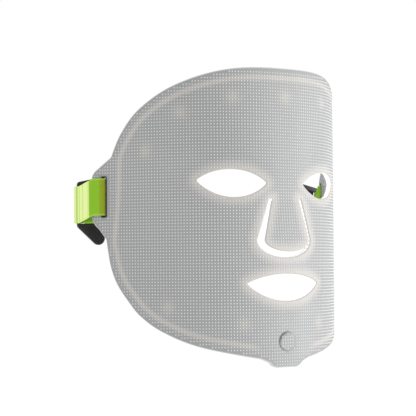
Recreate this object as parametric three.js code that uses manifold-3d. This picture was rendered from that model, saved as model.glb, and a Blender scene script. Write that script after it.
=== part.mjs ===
// LED face mask: a flexible moulded silicone sheet, bent round the face, that holds rows of
// lights, a sprung nose flap, a chin control pod, and an elastic loop and buckle at each side.
//
// Frame (millimetres): +Z is up, the mask looks towards -Y and the wearer's left is +X. The
// origin is between the eyes, on the inner face, where the mask rests on the wearer's face.
//
// While it is built, heights are measured from the bottom of the chin tab and y from the outer
// face. The sheet is worked out flat and then bent. Flat places are (u, z, w): u runs along the
// sheet from its middle, z is the height and w is the distance out from the outer face.

import * as THREE from 'three';
import { mergeVertices } from 'three/addons/utils/BufferGeometryUtils.js';
import Module from 'manifold-3d';

const wasm = await Module();
wasm.setup();

// ---- Driving dimensions ------------------------------------------------------------------

const GAP = 0.3;                  // air between neighbouring pieces
const PAST = 1;                   // how far a cutting tool reaches past what it cuts

const WING_TURN = 62 * Math.PI / 180;   // angle that the side wings end up turned through
const BEND_REACH = 58;            // how far from the middle most of that turn is done
const BEND_GROWTH = 1.5;          // how gently the bend starts at the middle
const COLUMN = 11;                // width of the flat facets that the bent sheet is made of
const GRAIN = 1 / 1024;           // corners of the flat sheet are rounded to this

const SKIN = 1.5;                 // outer silicone skin
const SHEET = 4.2;                // whole thickness, skin to liner
const LINER = 1.0;                // inner silicone liner
const LIP = 2.5;                  // solid lip round the edge and round every opening

const TAB_TIP = 145;              // u at the end of the side tab
const TAB_MIDDLE = 119;           // height of the middle of the side tab's slot
const TAB_SOLID = 127;            // the sheet is solid silicone beyond this u

const BRIDGE_Z = 127.7;           // height of the origin above the bottom of the chin tab
const EYE = { u: 40.6, z: 128, halfWidth: 24.4, rise: 8.4, drop: 10.6, tilt: 0.9 };
const MOUTH = { u: 0, z: 58, halfWidth: 30.5, rise: 6.5, drop: 12, tilt: 0 };

const NOSE = { top: 116.5, topHalf: 13.5, cornerZ: 88, cornerHalf: 23.2, bottom: 76 };
const FLAP_TILT = 5 * Math.PI / 180;    // how far the flap stands out of the sheet at rest
const FLAP_SLIT = { top: 1.4, corner: 3.7, bottom: 3.7 };
const FLAP_HINGE_GAP = 0.5;

const BUTTON = { z: 18, radius: 6.65, proud: 1.0, travel: 0.8 };

const LED_PITCH = 15;             // height between rows of lights
const LED_FIRST_ROW = 17;
const BOARD = { front: 1.8, thickness: 0.3, width: 5, margin: 2.5 };
const LED = { width: 3.2, height: 3.5, back: 2.9 };
const RIBBON = { front: 2.4, thickness: 0.3, height: 4 };

const SLOT = { u: 134.7, width: 3.2, height: 27.2, wall: 0.7, proud: 0.2 };
const STRAP = { height: 26, thickness: 1.4, clear: 0.6, droop: 5, droopFrom: 4, droopTo: 17 };
const BAR = { reach: 22.3, depth: 3.0, half: 1.0, clearance: 0.75 };
const PLATE = {
  thickness: 2.0, fold: 58 * Math.PI / 180,
  slotEnd: 5.4, slotHalf: 14.5, neckHalf: 16,
  lobeReach: 15.8, lobeRadius: 5, lobeTop: 19.5, lobeBottom: -28.2,
  wideSlot: { from: 12.6, to: 16.6, top: 13.5, bottom: -12.5 },
};

// ---- Colours and surfaces ----------------------------------------------------------------

function surface(color, roughness, metalness = 0) {
  return new THREE.MeshStandardMaterial({ color, roughness, metalness });
}

const LOOKS = {
  skin: surface(0xa5a8a7, 0.55),
  liner: surface(0xc2c4c3, 0.5),
  black: surface(0x2f2f2e, 0.5),
  lime: surface(0x9fd637, 0.85),
  board: surface(0xe9e6da, 0.5),
  ribbon: surface(0xc98a2e, 0.45),
  circuit: surface(0x1f5c3a, 0.5),
  chip: surface(0x1c1c1e, 0.4),
  steel: surface(0xb9bcc0, 0.3, 1),
  pod: surface(0xd6d8d7, 0.5),
};

// ---- Solids ------------------------------------------------------------------------------

function toSolid(geometry) {
  const bare = geometry.clone();
  bare.deleteAttribute('normal');
  bare.deleteAttribute('uv');
  const merged = mergeVertices(bare, 1e-4);
  return new wasm.Manifold(new wasm.Mesh({
    numProp: 3,
    vertProperties: new Float32Array(merged.attributes.position.array),
    triVerts: new Uint32Array(merged.index.array),
  }));
}

function toGeometry(solid) {
  const { vertProperties, triVerts } = solid.getMesh();
  const geometry = new THREE.BufferGeometry();
  geometry.setAttribute('position', new THREE.BufferAttribute(vertProperties, 3));
  geometry.setIndex(new THREE.BufferAttribute(triVerts, 1));
  geometry.computeVertexNormals();
  return geometry;
}

// A box between two corners.
function block([x0, y0, z0], [x1, y1, z1]) {
  const geometry = new THREE.BoxGeometry(x1 - x0, y1 - y0, z1 - z0);
  geometry.translate((x0 + x1) / 2, (y0 + y1) / 2, (z0 + z1) / 2);
  return toSolid(geometry);
}

// A round piece on a line along Y: `profile` lists [radius, y] from its front to its back.
function turned(profile, segments) {
  const points = profile.map(([radius, y]) => new THREE.Vector2(radius, y));
  return toSolid(new THREE.LatheGeometry(points, segments));
}

// A prism: an outline with holes, extruded from `from` to `to`.
function prism(outline, holes, from, to) {
  const shape = new THREE.Shape(outline);
  shape.holes = holes.map((hole) => new THREE.Path(hole));
  const geometry = new THREE.ExtrudeGeometry(shape, { depth: to - from, bevelEnabled: false });
  geometry.translate(0, 0, from);
  return toSolid(geometry);
}

// An outline grown outwards by `distance`, or shrunk when it is negative (anticlockwise).
function grow(outline, distance) {
  const count = outline.length;
  return outline.map((point, i) => {
    const before = point.clone().sub(outline[(i + count - 1) % count]).normalize();
    const after = outline[(i + 1) % count].clone().sub(point).normalize();
    const along = before.clone().add(after).normalize();
    const out = new THREE.Vector2(along.y, -along.x);
    const mitre = Math.max(0.6, out.x * before.y - out.y * before.x);
    return point.clone().addScaledVector(out, distance / mitre);
  });
}

function rectangle(width, height, centreX = 0, centreY = 0) {
  const [a, b] = [width / 2, height / 2];
  return [[-a, -b], [a, -b], [a, b], [-a, b]]
    .map(([x, y]) => new THREE.Vector2(centreX + x, centreY + y));
}

// ---- The bend ----------------------------------------------------------------------------

// How far the sheet has turned at u.
function turnAt(u) {
  return Math.sign(u) * WING_TURN * (1 - Math.exp(-((Math.abs(u) / BEND_REACH) ** BEND_GROWTH)));
}

// Where the outer face is at u, by adding up short steps along the bend.
function faceAt(u) {
  const steps = 96;
  const step = u / steps;
  let x = 0;
  let y = 0;
  for (let i = 0; i < steps; i += 1) {
    const turn = turnAt((i + 0.5) * step);
    x += Math.cos(turn) * step;
    y += Math.sin(turn) * step;
  }
  return { x, y };
}

function bentPoint(u, z, w) {
  const face = faceAt(u);
  const turn = turnAt(u);
  return [face.x + w * Math.sin(turn), face.y - w * Math.cos(turn), z];
}

// Sews slices together: a side that has a corner of the next slice part of the way along it is
// split there, so that both slices have the same sides along the cut between them.
function sew(triangles, corners) {
  const sideNames = ([a, b, c]) => [`${a},${b}`, `${b},${c}`, `${c},${a}`];
  const sides = new Set(triangles.flatMap(sideNames));
  const liesBetween = (a, b, corner) => {
    const along = corners[b].clone().sub(corners[a]);
    const to = corners[corner].clone().sub(corners[a]);
    const share = to.dot(along) / along.lengthSq();
    return share > 0 && share < 1 && to.addScaledVector(along, -share).length() < 2 * GRAIN
      && corner !== a && corner !== b;
  };
  const onCut = new Map();
  corners.forEach(({ x }, corner) => {
    if (x % COLUMN === 0) {
      onCut.set(x, [...(onCut.get(x) ?? []), corner]);
    }
  });
  const waiting = [...triangles];
  const sewn = [];
  while (waiting.length > 0) {
    const triangle = waiting.pop();
    const split = [0, 1, 2].map((side) => {
      const [a, b] = [triangle[side], triangle[(side + 1) % 3]];
      const isOpen = corners[a].x === corners[b].x && !sides.has(`${b},${a}`);
      const middle = isOpen && onCut.get(corners[a].x)?.find((corner) => liesBetween(a, b, corner));
      return { a, b, c: triangle[(side + 2) % 3], middle };
    }).find(({ middle }) => middle !== false && middle !== undefined);
    if (split) {
      waiting.push([split.a, split.middle, split.c], [split.middle, split.b, split.c]);
    } else {
      sewn.push(triangle);
    }
  }
  return sewn;
}

// Bends a flat solid, whose places are (u, z, w): it is sliced into upright columns, the slices
// are sewn together without the faces between them, and every corner is moved onto the bend.
function bend(flat) {
  const columns = Math.ceil(TAB_TIP / COLUMN);
  const corners = [];
  const cornerAt = new Map();
  const triangles = [];
  const round = (value) => Math.round(value / GRAIN) * GRAIN || 0;
  for (let i = -columns; i < columns; i += 1) {
    const slice = flat.intersect(block([i * COLUMN, -50, -50], [(i + 1) * COLUMN, 300, 50]));
    const { vertProperties, triVerts } = slice.getMesh();
    const numbers = Array.from({ length: vertProperties.length / 3 }, (_, vertex) => {
      const place = new THREE.Vector3().fromArray(vertProperties, 3 * vertex);
      place.set(round(place.x), round(place.y), round(place.z));
      const key = place.toArray().join();
      if (!cornerAt.has(key)) {
        cornerAt.set(key, corners.push(place) - 1);
      }
      return cornerAt.get(key);
    });
    for (let k = 0; k < triVerts.length; k += 3) {
      const triangle = Array.from(triVerts.slice(k, k + 3), (vertex) => numbers[vertex]);
      const [a, b, c] = triangle.map((corner) => corners[corner].x);
      const isCut = a === b && b === c && a % COLUMN === 0;
      if (!isCut && new Set(triangle).size === 3) {
        triangles.push(triangle);
      }
    }
  }
  return new wasm.Manifold(new wasm.Mesh({
    numProp: 3,
    vertProperties: new Float32Array(corners.flatMap(({ x, y, z }) => bentPoint(x, y, z))),
    triVerts: new Uint32Array(sew(triangles, corners).flat()),
  }));
}

// Puts a mesh or group on the sheet at u: its x runs along the sheet and its y points inwards.
function standAt(item, u, z = 0) {
  const face = faceAt(u);
  item.position.set(face.x, face.y, z);
  item.rotation.z = turnAt(u);
  return item;
}

// ---- Outlines ----------------------------------------------------------------------------

// Half of the mask's edge, from the chin tab up the wearer's left side to the brow.
const chinTab = [[8.7, 0], [11.8, 1.2], [14.2, 3.6]];
const jaw = [[20.3, 6], [63.3, 14.6], [90.2, 24.8], [106.7, 35.5], [116.7, 46.6], [124.6, 57.6],
  [129.4, 68.7], [131.8, 79.8], [133.2, 89]];
const tab = [[138.5, 95.8], [142.4, 99.4], [TAB_TIP - 0.7, 102.6], [TAB_TIP, 105.7],
  [TAB_TIP, 131.2], [TAB_TIP - 0.7, 134.4], [142.4, 137], [136.4, 141.4]];
const brow = [[129.4, 146.5], [121.4, 163], [107.5, 179.3], [81.7, 194.8], [44.5, 205.2],
  [0, 207.2], [-44.5, 205.2]];

function vectors(points) {
  return points.map(([u, z]) => new THREE.Vector2(u, z));
}

function mirrored(points) {
  return points.filter((point) => point.x > 0.01).reverse()
    .map((point) => new THREE.Vector2(-point.x, point.y));
}

const halfEdge = [
  ...vectors(chinTab),
  ...new THREE.SplineCurve(vectors(jaw)).getPoints(20),
  ...vectors(tab),
  ...new THREE.SplineCurve(vectors(brow)).getPoints(24).filter((point) => point.x > -0.5),
];
const edge = [...halfEdge, ...mirrored(halfEdge)];

// A pointed almond: one arc over its corners and one under them. Its outer corner is raised, and
// its inner corner lowered, by `tilt`.
function almond({ u, z, halfWidth, rise, drop, tilt }, side = 1) {
  const segments = 10;
  const arc = (from, height) => Array.from({ length: segments }, (_, i) => {
    const t = from * (1 - 2 * i / segments);
    return new THREE.Vector2(side * u + t * halfWidth,
      z + tilt * side * t + height * (1 - t * t) ** 0.85);
  });
  return [...arc(1, rise), ...arc(-1, -drop)];
}

// The U round the nose: straight sides that widen downwards and a rounded bottom.
function noseOutline(inset) {
  const topHalf = NOSE.topHalf - inset.top;
  const cornerHalf = NOSE.cornerHalf - inset.corner;
  const bottom = NOSE.bottom + inset.bottom;
  const depth = NOSE.cornerZ - bottom;
  const sides = 12;
  const bowl = Array.from({ length: sides + 1 }, (_, i) => {
    const angle = Math.PI + Math.PI * i / sides;
    return new THREE.Vector2(cornerHalf * Math.cos(angle), NOSE.cornerZ + depth * Math.sin(angle));
  });
  return [...bowl, new THREE.Vector2(topHalf, NOSE.top), new THREE.Vector2(-topHalf, NOSE.top)];
}

const eyes = [almond(EYE, 1), almond(EYE, -1)];
const mouth = almond(MOUTH);
const noseHole = noseOutline({ top: 0, corner: 0, bottom: 0 });
const slotHoles = [1, -1].map((side) => rectangle(
  SLOT.width + 2 * (SLOT.wall + GAP), SLOT.height + 2 * (SLOT.wall + GAP), side * SLOT.u, TAB_MIDDLE));
const buttonHole = circle(BUTTON.radius + GAP + 0.05, 0, BUTTON.z, 24);

function circle(radius, centreX, centreY, count) {
  return Array.from({ length: count }, (_, i) => {
    const angle = 2 * Math.PI * i / count;
    return new THREE.Vector2(centreX + radius * Math.cos(angle), centreY + radius * Math.sin(angle));
  });
}

// The hollow between the skin and the liner, `clear` further in than the lip.
function hollow(clear) {
  const inside = grow(edge, -(LIP + clear))
    .map(({ x, y }) => {
      const reach = TAB_SOLID - clear;
      return new THREE.Vector2(THREE.MathUtils.clamp(x, -reach, reach), y);
    });
  const islands = [...eyes, mouth, noseHole].map((opening) => grow(opening, LIP + clear));
  return { inside, islands };
}

// ---- Chin pod dimensions (measured straight back from the outer face) --------------------

const POD = { half: 13.4, bottom: 7.2, top: 33, front: 3.7, back: 8.8, wall: 1.2 };
const PORT = { y: 4.6, halfWidth: 4.47, halfHeight: 1.63, wall: 0.3, from: 0.3, to: 7.6, skinStep: 0.15 };
const TONGUE = { halfWidth: 3.35, halfThickness: 0.35, from: 1.2, to: 6.8 };
const CHIP = { half: 2.5, bottom: 24, top: 29, thickness: 0.9 };
const BEZEL = { wall: 0.8, top: POD.bottom - GAP };
const BOARD_IN_POD = { front: 4.8, back: 5.6, half: 11.8, bottom: 8.8, top: 31.2 };
const SWITCH = { front: 2.9, half: 3.0 };

// ---- Pieces of the sheet -----------------------------------------------------------------

function outerSkin() {
  const whole = prism(edge, [...eyes, mouth, noseHole, ...slotHoles, buttonHole], -SHEET, 0);
  const { inside, islands } = hollow(0);
  const cavity = prism(inside, islands, -SHEET - PAST, -SKIN);
  const notchHalf = PORT.halfWidth + GAP + BEZEL.wall + GAP;
  const portNotch = block([-notchHalf, -PAST, -SHEET - PAST],
    [notchHalf, POD.bottom, -SKIN - PORT.skinStep]);
  return bend(whole.subtract(cavity).subtract(portNotch));
}

function innerLiner() {
  const { inside, islands } = hollow(GAP);
  const sheet = prism(inside, islands, -SHEET, -SHEET + LINER);
  const podHalf = POD.half + 2 * GAP;
  const podHole = block([-podHalf, -PAST, -SHEET - PAST], [podHalf, POD.top + 2 * GAP, 0]);
  return bend(sheet.subtract(podHole));
}

function ribbon(z, halfLength) {
  const outline = rectangle(2 * halfLength, RIBBON.height, 0, z);
  return bend(prism(outline, [], -RIBBON.front - RIBBON.thickness, -RIBBON.front));
}

// A flat strip of board with a light on each row, standing upright on the sheet.
function ledStrip(firstRow, lastRow) {
  const rowHeight = (row) => LED_FIRST_ROW + row * LED_PITCH;
  const [bottom, top] = [rowHeight(firstRow) - BOARD.margin, rowHeight(lastRow) + BOARD.margin];
  const half = BOARD.width / 2;
  let strip = block([-half, BOARD.front, bottom], [half, BOARD.front + BOARD.thickness, top]);
  for (let row = firstRow; row <= lastRow; row += 1) {
    const z = rowHeight(row);
    strip = strip.add(block([-LED.width / 2, BOARD.front + 0.1, z - LED.height / 2],
      [LED.width / 2, LED.back, z + LED.height / 2]));
  }
  return strip;
}

// The rows run from the chin (0) to the forehead (11).
const STRIPS = [
  { place: 'brow_inner', u: 16, rows: [9, 11] },
  { place: 'brow_middle', u: 32, rows: [9, 11] },
  { place: 'brow_outer', u: 48, rows: [9, 11] },
  { place: 'temple', u: 64, rows: [9, 11] },
  { place: 'side', u: 80, rows: [1, 11] },
  { place: 'side_rear', u: 96, rows: [2, 10] },
  { place: 'ear', u: 112, rows: [3, 9] },
  { place: 'nostril', u: 32, rows: [4, 6] },
  { place: 'cheek_inner', u: 48, rows: [1, 6] },
  { place: 'cheek_outer', u: 64, rows: [1, 6] },
  { place: 'chin', u: 30, rows: [0, 1] },
];

// ---- Spacer pads on the inner face -------------------------------------------------------

const SPACER = { radius: 6, base: SHEET + 0.8, height: 2.2 };
const SPACERS = [
  { place: 'forehead', u: 40, z: 186 },
  { place: 'temple', u: 77, z: 176 },
  { place: 'ear', u: 102, z: 150 },
  { place: 'jaw', u: 86, z: 42 },
  { place: 'chin', u: 33, z: 30 },
];

function spacerPad() {
  const { radius, base, height } = SPACER;
  return turned([[0, base], [radius, base], [radius * 0.92, base + height * 0.45],
    [radius * 0.62, base + height * 0.88], [0, base + height]], 16);
}

// ---- Side loops and buckles --------------------------------------------------------------

const easeInOut = (t) => {
  const s = THREE.MathUtils.clamp(t, 0, 1);
  return s * s * (3 - 2 * s);
};

function slotFrame() {
  const opening = rectangle(SLOT.width, SLOT.height);
  return prism(grow(opening, SLOT.wall), [opening], -SLOT.proud, SHEET + SLOT.proud);
}

// The loop's middle line, seen from above: out of the slot, over the tab, round the bar and back.
function loopLine() {
  const end = BAR.half * Math.SQRT2 + BAR.clearance * 0.5 + STRAP.thickness / 2;
  const over = -(STRAP.clear + STRAP.thickness / 2);
  const under = SHEET + STRAP.clear + STRAP.thickness / 2;
  const tip = TAB_TIP - SLOT.u;
  const round = [-90, -45, 0, 45, 90].map((degrees) => {
    const angle = THREE.MathUtils.degToRad(degrees);
    return [BAR.reach + end * Math.cos(angle), BAR.depth + end * Math.sin(angle)];
  });
  const points = [[0, 3.4], [0, 0.6], [1.5, over], [6, over - 0.5], [tip, over - 0.9], ...round,
    [tip, under + 0.9], [6, under + 0.5], [1.5, under]];
  const line = new THREE.CatmullRomCurve3(points.map(([x, y]) => new THREE.Vector3(x, y, 0)), true);
  return line.getPoints(44).slice(0, -1).map(({ x, y }) => new THREE.Vector2(x, y));
}

function strapLoop(side) {
  const line = loopLine();
  const half = STRAP.thickness / 2;
  const facing = (points) => (side > 0 ? points
    : points.map(({ x, y }) => new THREE.Vector2(-x, y)).reverse());
  const shape = new THREE.Shape(facing(grow(line, half)));
  shape.holes = [new THREE.Path(facing(grow(line, -half)))];
  const geometry = new THREE.ExtrudeGeometry(shape, { depth: STRAP.height, bevelEnabled: false });
  geometry.translate(0, 0, -STRAP.height / 2);
  const position = geometry.attributes.position;
  for (let i = 0; i < position.count; i += 1) {
    position.setZ(i, position.getZ(i) - droopAt(side * position.getX(i)));
  }
  return toSolid(geometry);
}

// How far the loop hangs down, `reach` millimetres out from the slot.
function droopAt(reach) {
  return STRAP.droop * easeInOut((reach - STRAP.droopFrom) / (STRAP.droopTo - STRAP.droopFrom));
}

// The buckle, flat: a thin bar that the loop goes round, and a flared plate with a wide slot.
function sidePlate() {
  const { slotEnd, slotHalf, neckHalf, lobeReach, lobeRadius, lobeTop, lobeBottom, wideSlot } = PLATE;
  const lobe = (end) => {
    const slope = Math.atan2(Math.abs(end) - neckHalf, lobeReach + BAR.half);
    const turn = Math.sign(end);
    return Array.from({ length: 7 }, (_, i) => {
      const angle = (-Math.PI / 2 - slope) * (1 - i / 6);
      return new THREE.Vector2(lobeReach + lobeRadius * Math.cos(angle),
        end - turn * (lobeRadius + lobeRadius * Math.sin(angle)));
    });
  };
  const outline = [
    new THREE.Vector2(-BAR.half, -neckHalf), ...lobe(lobeBottom),
    ...lobe(lobeTop).reverse(), new THREE.Vector2(-BAR.half, neckHalf),
  ];
  const narrow = rectangle(slotEnd - BAR.half, 2 * slotHalf, (slotEnd + BAR.half) / 2, 0);
  const wide = rectangle(wideSlot.to - wideSlot.from, wideSlot.top - wideSlot.bottom,
    (wideSlot.from + wideSlot.to) / 2, (wideSlot.top + wideSlot.bottom) / 2);
  const shape = new THREE.Shape(outline);
  shape.holes = [new THREE.Path(narrow), new THREE.Path(wide)];
  const geometry = new THREE.ExtrudeGeometry(shape, { depth: PLATE.thickness, bevelEnabled: false });
  geometry.translate(0, 0, -PLATE.thickness / 2);
  geometry.rotateX(Math.PI / 2);
  return toSolid(geometry);
}

// ---- Chin pod ----------------------------------------------------------------------------

function chinPod() {
  const { half, bottom, top, front, back, wall } = POD;
  const outside = block([-half, front, bottom], [half, back, top]);
  const room = block([-half + wall, front - PAST, bottom + wall],
    [half - wall, back - wall, top - wall]);
  const doorHalf = PORT.halfWidth + GAP;
  const door = block([-doorHalf, front - PAST, bottom - PAST],
    [doorHalf, PORT.y + PORT.halfHeight + GAP, bottom + wall + PAST]);
  return outside.subtract(room).subtract(door);
}

function portBezel() {
  const innerX = PORT.halfWidth + GAP;
  const innerY = PORT.halfHeight + GAP;
  const outside = block([-innerX - BEZEL.wall, PORT.y - innerY - BEZEL.wall, 0],
    [innerX + BEZEL.wall, PORT.y + innerY + BEZEL.wall, BEZEL.top]);
  return outside.subtract(block([-innerX, PORT.y - innerY, -PAST],
    [innerX, PORT.y + innerY, BEZEL.top + PAST]));
}

function portShell() {
  const { y, halfWidth, halfHeight, wall, from, to } = PORT;
  const outside = block([-halfWidth, y - halfHeight, from], [halfWidth, y + halfHeight, to]);
  return outside.subtract(block([-halfWidth + wall, y - halfHeight + wall, from - PAST],
    [halfWidth - wall, y + halfHeight - wall, to + PAST]));
}

function powerButton() {
  const { radius, proud } = BUTTON;
  const stem = 2;
  const stemEnd = SWITCH.front - GAP - BUTTON.travel;
  return turned([[0, -proud], [radius - 1.2, -proud], [radius, -proud + 0.5], [radius, 1.1],
    [stem, 1.1], [stem, stemEnd], [0, stemEnd]], 24);
}

// ---- The object --------------------------------------------------------------------------

const mask = new THREE.Group();
mask.position.set(0, -SHEET, -BRIDGE_Z);

function add(parent, name, solid, look) {
  const mesh = new THREE.Mesh(toGeometry(solid), LOOKS[look]);
  mesh.name = name;
  parent.add(mesh);
  return mesh;
}

function addPair(name, u, look, makeSolid, z = 0) {
  for (const [label, side] of [['left', 1], ['right', -1]]) {
    standAt(add(mask, `${name}_${label}`, makeSolid(side), look), side * u, z);
  }
}

add(mask, 'outer_skin', outerSkin(), 'skin');
add(mask, 'inner_liner', innerLiner(), 'liner');

// The nose flap and what it carries, tilted out about the line where it joins the bridge.
const flap = new THREE.Group();
flap.position.z = NOSE.top - FLAP_HINGE_GAP;
flap.rotation.x = -FLAP_TILT;
mask.add(flap);
const flapOutline = noseOutline(FLAP_SLIT)
  .map((point) => new THREE.Vector2(point.x, point.y - NOSE.top));
const flapRoom = (clear) => grow(flapOutline, -(LIP * 0.8 + clear));
const flapBody = prism(flapOutline, [], -SHEET, 0)
  .subtract(prism(flapRoom(0), [], -SHEET - PAST, -SKIN));
add(flap, 'nose_flap', bend(flapBody), 'skin');
add(flap, 'nose_flap_liner', bend(prism(flapRoom(GAP), [], -SHEET, -SHEET + LINER)), 'liner');
add(flap, 'nose_led_strip', ledStrip(5, 6), 'board').position.z = -flap.position.z;

add(mask, 'led_strip_bridge', ledStrip(7, 11), 'board');
for (const { place, u, rows } of STRIPS) {
  addPair(`led_strip_${place}`, u, 'board', () => ledStrip(...rows));
}
add(mask, 'bus_ribbon_brow', ribbon(LED_FIRST_ROW + 8.5 * LED_PITCH, 114), 'ribbon');
add(mask, 'bus_ribbon_cheek', ribbon(LED_FIRST_ROW + 3.5 * LED_PITCH, 114), 'ribbon');
add(mask, 'feed_ribbon_chin', ribbon(LED_FIRST_ROW + 0.5 * LED_PITCH, 68), 'ribbon');

add(mask, 'spacer_brow', spacerPad(), 'liner').position.z = 187;
for (const { place, u, z } of SPACERS) {
  addPair(`spacer_${place}`, u, 'liner', spacerPad, z);
}

add(mask, 'chin_pod', chinPod(), 'pod');
const { front, back, half, bottom, top } = BOARD_IN_POD;
add(mask, 'control_board', block([-half, front, bottom], [half, back, top]), 'circuit');
add(mask, 'driver_chip', block([-CHIP.half, back + GAP, CHIP.bottom],
  [CHIP.half, back + GAP + CHIP.thickness, CHIP.top]), 'chip');
add(mask, 'power_switch', block([-SWITCH.half, SWITCH.front, BUTTON.z - SWITCH.half],
  [SWITCH.half, front - GAP, BUTTON.z + SWITCH.half]), 'chip');
add(mask, 'power_button', powerButton(), 'skin').position.z = BUTTON.z;
add(mask, 'port_bezel', portBezel(), 'black');
add(mask, 'port_shell', portShell(), 'steel');
add(mask, 'port_tongue', block([-TONGUE.halfWidth, PORT.y - TONGUE.halfThickness, TONGUE.from],
  [TONGUE.halfWidth, PORT.y + TONGUE.halfThickness, TONGUE.to]), 'chip');

// The side fittings: the slot's frame, the elastic loop through it and the buckle on the loop.
for (const [label, side] of [['left', 1], ['right', -1]]) {
  const fitting = standAt(new THREE.Group(), side * SLOT.u, TAB_MIDDLE);
  mask.add(fitting);
  add(fitting, `slot_frame_${label}`, slotFrame(), 'black').rotation.x = -Math.PI / 2;
  add(fitting, `strap_loop_${label}`, strapLoop(side), 'lime');
  const plate = add(fitting, `side_plate_${label}`, sidePlate(), 'black');
  plate.position.set(side * BAR.reach, BAR.depth, -droopAt(BAR.reach));
  plate.rotation.z = side > 0 ? Math.PI - PLATE.fold : PLATE.fold;
}

export default mask;
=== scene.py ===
"""The looks of the LED face mask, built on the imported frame.

The mask is a moulded sheet that was worked out flat and then bent, so its pieces are made the
same way here. Flat places are (u, z, w) in millimetres: u runs along the sheet from its middle,
z is the height above the bottom of the chin tab and w is the distance out from the outer face.
"""

import math

import bmesh
import bpy
import numpy as np
from mathutils import Matrix, Vector, kdtree
from mathutils.geometry import delaunay_2d_cdt


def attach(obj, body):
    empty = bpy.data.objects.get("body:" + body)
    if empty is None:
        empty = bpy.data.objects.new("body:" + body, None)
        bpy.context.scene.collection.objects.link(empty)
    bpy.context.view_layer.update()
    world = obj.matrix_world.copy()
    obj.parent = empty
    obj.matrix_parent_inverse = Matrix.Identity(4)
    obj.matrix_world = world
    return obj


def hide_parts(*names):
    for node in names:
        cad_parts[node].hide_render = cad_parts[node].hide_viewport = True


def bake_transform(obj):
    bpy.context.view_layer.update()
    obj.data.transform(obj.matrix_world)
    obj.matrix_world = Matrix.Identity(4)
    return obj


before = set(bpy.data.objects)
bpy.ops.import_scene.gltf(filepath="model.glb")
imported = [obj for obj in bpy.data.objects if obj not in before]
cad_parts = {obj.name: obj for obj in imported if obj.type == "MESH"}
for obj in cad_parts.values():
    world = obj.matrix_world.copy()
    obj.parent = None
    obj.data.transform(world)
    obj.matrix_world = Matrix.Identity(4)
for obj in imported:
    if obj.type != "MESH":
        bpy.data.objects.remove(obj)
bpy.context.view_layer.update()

# ---- Driving dimensions, in millimetres, as in the CAD model ----

MM = 0.001
WING_TURN = math.radians(62)
BEND_REACH = 58
BEND_GROWTH = 1.5

SKIN = 1.5
SHEET = 4.2
LINER = 1.0
GAP = 0.3
LIP = 2.5
BRIDGE_Z = 127.7            # height of the frame's origin
MIDDLE_Z = 100              # height the camera's aim is measured from

TAB_TIP = 145
TAB_MIDDLE = 119
TAB_SOLID = 127

EYE = {"u": 40.6, "z": 128, "half": 24.4, "rise": 8.4, "drop": 10.6, "tilt": 0.9}
MOUTH = {"u": 0, "z": 58, "half": 30.5, "rise": 6.5, "drop": 12, "tilt": 0}
NOSE = {"top": 116.5, "top_half": 13.5, "corner_z": 88, "corner_half": 23.2, "bottom": 76}
FLAP_SLIT = {"top": 1.4, "corner": 3.7, "bottom": 3.7}
FLAP_HINGE_Z = 116.0
FLAP_TILT = math.radians(5)

BUTTON_Z = 18
BUTTON_RADIUS = 6.65
BUTTON_PROUD = 0.7          # a little under the CAD model's, as its rim is soft

SLOT_U = 134.7
SLOT_WIDTH = 3.2
SLOT_HEIGHT = 27.2
SLOT_WALL = 0.7

STRAP_HEIGHT = 26
STRAP_THICKNESS = 1.4
STRAP_CLEAR = 0.6
STRAP_DROOP = 5
BAR_REACH = 22.3
BAR_DEPTH = 3.0
BAR_HALF = 1.0
PLATE_FOLD = math.radians(58)

DOT_PITCH = 2.12
DOT_WIDTH = 1.0
DOT_HEIGHT = 0.22

RIB_PITCH = 0.9

LED_PITCH = 15
LED_FIRST_ROW = 17
STRIPS = [(16, 9, 11), (32, 9, 11), (48, 9, 11), (64, 9, 11), (80, 1, 11), (96, 2, 10), (112, 3, 9),
          (32, 4, 6), (48, 1, 6), (64, 1, 6), (30, 0, 1)]   # reach, first row and last row

SPACERS = [(40, 186), (77, 176), (102, 150), (86, 42), (33, 30)]
SPACER_PLACES = [(0, 187)] + [(side * u, z) for u, z in SPACERS for side in (1, -1)]

BAND_INSET = 7.2            # from the sheet's edge to the middle of its sealing band
POD_Z = 20.1                # height of the middle of the chin pod
INLET_Y = 4.6               # depth of the middle of the inlet

# ---- Camera, light and stage ----

def add_camera():
    azimuth, pitch, roll = math.radians(34.5), math.radians(2.15), math.radians(-0.4)
    distance, aim_right, aim_up = 1.057, 0.0541, 0.01045
    forward = Vector((math.sin(azimuth) * math.cos(pitch), math.cos(azimuth) * math.cos(pitch),
                      math.sin(pitch)))
    right = Vector((math.cos(azimuth), -math.sin(azimuth), 0))
    up = right.cross(forward)
    middle = Vector((0, -SHEET, MIDDLE_Z - BRIDGE_Z)) * MM
    aim = middle - right * aim_right + up * aim_up
    camera = bpy.data.objects.new("camera", bpy.data.cameras.new("camera"))
    camera.data.lens = 132.1
    camera.data.sensor_width = 36
    turned = Matrix((right, up, -forward)).transposed().to_4x4()
    roll_turn = Matrix.Rotation(roll, 4, "Z")
    camera.matrix_world = Matrix.Translation(aim - forward * distance) @ turned @ roll_turn
    bpy.context.scene.collection.objects.link(camera)
    bpy.context.scene.camera = camera


def add_area_light(name, place, aim, size, power):
    light = bpy.data.lights.new(name, "AREA")
    light.energy = power
    light.size = size
    lamp = bpy.data.objects.new(name, light)
    lamp.location = place
    lamp.rotation_euler = (Vector(aim) - Vector(place)).to_track_quat("-Z", "Y").to_euler()
    bpy.context.scene.collection.objects.link(lamp)


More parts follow.
